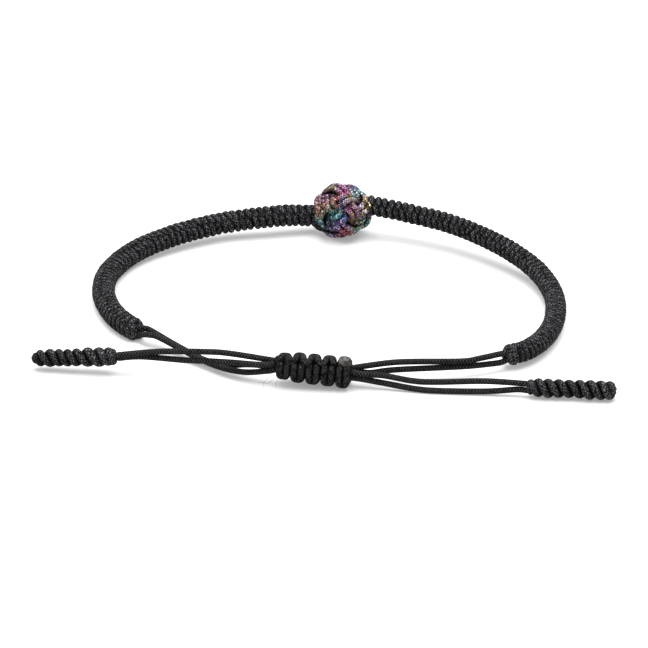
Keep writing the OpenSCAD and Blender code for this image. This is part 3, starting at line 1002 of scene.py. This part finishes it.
def metallic_thread(name):
    """Foil threads that cross in small lozenges, with painted reflections that make some of them
    mirror-bright and painted shade in the gaps between strands.
    """
    shader = Shader(name)
    along, around = cord_map(shader, 0.4)
    onward = along * (1 / THREAD) + around * THREADS_ROUND
    backward = along * (1 / THREAD) - around * THREADS_ROUND
    lozenge = shader.node("ShaderNodeCombineXYZ", {}, onward.floor(), backward.floor())
    spark = shader.node("ShaderNodeTexWhiteNoise", {"noise_dimensions": "2D"}, lozenge)
    dye = shader.node("ShaderNodeAttribute", {"attribute_name": "dye"})
    crown = shader.node("ShaderNodeAttribute", {"attribute_name": "crown"}, out=2)
    height = ((onward - 0.5) * math.pi).cos().size() * ((backward - 0.5) * math.pi).cos().size()
    # painted reflections: a random brightness for each lozenge, with painted shade in the gaps between
    # strands
    bright = height * (crown ** 2.8) * (spark * 3.1 + 0.25)
    # painted highlight: the brightest lozenges turn nearly white
    highlighted = shader.mix(((spark ** 6.0) * height * (crown ** 2.0)).clamp(), dye, FOIL_HIGHLIGHT)
    shader.set(Base_Color=shader.mix(bright.clamp(), FOIL_GAP_SHADE, highlighted), Metallic=0.8, Roughness=0.35)
    shader.set(Normal=shader.node("ShaderNodeBump", {}, Strength=1.0, Distance=RELIEF * MM, Height=height))
    return shader.material


colour_knot.data.materials.append(metallic_thread("metallic_thread"))
print("a foil lozenge is", THREAD, "mm long")

# %% [markdown]
# ## Burnt nylon
# Where the cord's end was melted, the plait is gone and the bead is mottled grey-brown. It could be painted
# by hand, but two noises of different size make the mottling well enough on such a small bead. The finer
# noise also makes the bumps, so it paints highlight on them and shade in their pits. The bead is painted
# darker towards its right side, nearly black there.

# %% Burnt nylon
# from here on to the right, in millimetres, the bead is painted darker
DARKER_FROM = 3.5
# the bead's darkest colour: in random mottles, in the painted shade of its pits and on its darker right side
BEAD_DARK = (0.003, 0.0025, 0.002)
MELTED = (0.063, 0.052, 0.045)


def burnt_nylon(name):
    """Melted nylon goes mottled grey-brown, with painted highlight on its bumps, painted shade nearly black
    in its pits, and painted darker to the right.
    """
    shader = Shader(name)
    where = shader.node("ShaderNodeTexCoord", {}, out=3)
    broad = shader.node("ShaderNodeTexNoise", {}, where, Scale=900.0, Detail=3.0)
    fine = shader.node("ShaderNodeTexNoise", {}, where, Scale=3600.0, Detail=3.0)
    sideways, _ = shader.split(where)
    darker_right = ((sideways * (1 / MM) - DARKER_FROM) * 1.1).clamp()
    # the broad noise mottles at random; the fine noise, which is also the bump, paints highlight and shade;
    # darker to the right
    shade = ((broad * 3.4 - 1.2).clamp() * 0.8 + fine * 1.6 - 0.7 - darker_right * 0.8).clamp()
    shader.set(Base_Color=shader.mix(shade, BEAD_DARK, MELTED), Roughness=0.45)
    shader.set(Normal=shader.node("ShaderNodeBump", {}, Strength=0.8, Distance=0.05 * MM, Height=fine))
    return shader.material


burnt_tip.data.materials.append(burnt_nylon("burnt_nylon"))
print("finish of the bead:", burnt_tip.data.materials[0].name)

# %% [markdown]
# ## Floor and light
# The photo is taken on seamless white, lit so brightly that only the shadows show. A wide light above gives
# the soft grey shadow just under the cords. The floor also glows a little, like the lit table that such
# photos are taken on, which keeps the shadows pale. It is only just bright enough to come out white, or the
# glare would swallow the faint shadow of the band that lies highest.

# %% Floor
FLOOR_PAINT = (0.46, 0.46, 0.47, 1)
FLOOR_GLOW = 0.24


def make_floor():
    bm = bmesh.new()
    bmesh.ops.create_grid(bm, x_segments=1, y_segments=1, size=3.0)
    mesh = bpy.data.meshes.new("floor")
    bm.to_mesh(mesh)
    bm.free()
    floor = bpy.data.objects.new("floor", mesh)
    bpy.context.scene.collection.objects.link(floor)
    shader = Shader("white_floor")
    shader.set(Base_Color=FLOOR_PAINT, Roughness=0.6)
    shader.set(Emission_Color=(1, 1, 1, 1), Emission_Strength=FLOOR_GLOW)
    mesh.materials.append(shader.material)
    return floor


floor = make_floor()
print("the", floor.name, "glows with strength", FLOOR_GLOW)

# %% [markdown]
# One square light hangs above, a little behind the loop, and is about as wide as it is far away. A small
# lamp or a sun would draw hard shadows. The white world round it fills the sides, as the walls of a light
# tent do.

# %% Light
def make_light(name, place, size, power):
    data = bpy.data.lights.new(name, "AREA")
    data.shape = "SQUARE"
    data.size = size
    data.energy = power
    light = bpy.data.objects.new(name, data)
    light.location = place
    light.rotation_euler = (-Vector(place)).to_track_quat("-Z", "Y").to_euler()
    bpy.context.scene.collection.objects.link(light)
    return light


def make_world(strength):
    world = bpy.data.worlds.new("studio")
    world.use_nodes = True
    background = world.node_tree.nodes["Background"]
    background.inputs["Color"].default_value = (1, 1, 1, 1)
    background.inputs["Strength"].default_value = strength
    bpy.context.scene.world = world


softbox = make_light("softbox_above", place=(0.02, 0.05, 0.6), size=0.62, power=9.0)
make_world(strength=1.05)
print("light", softbox.name, "of", softbox.data.energy, "watts")
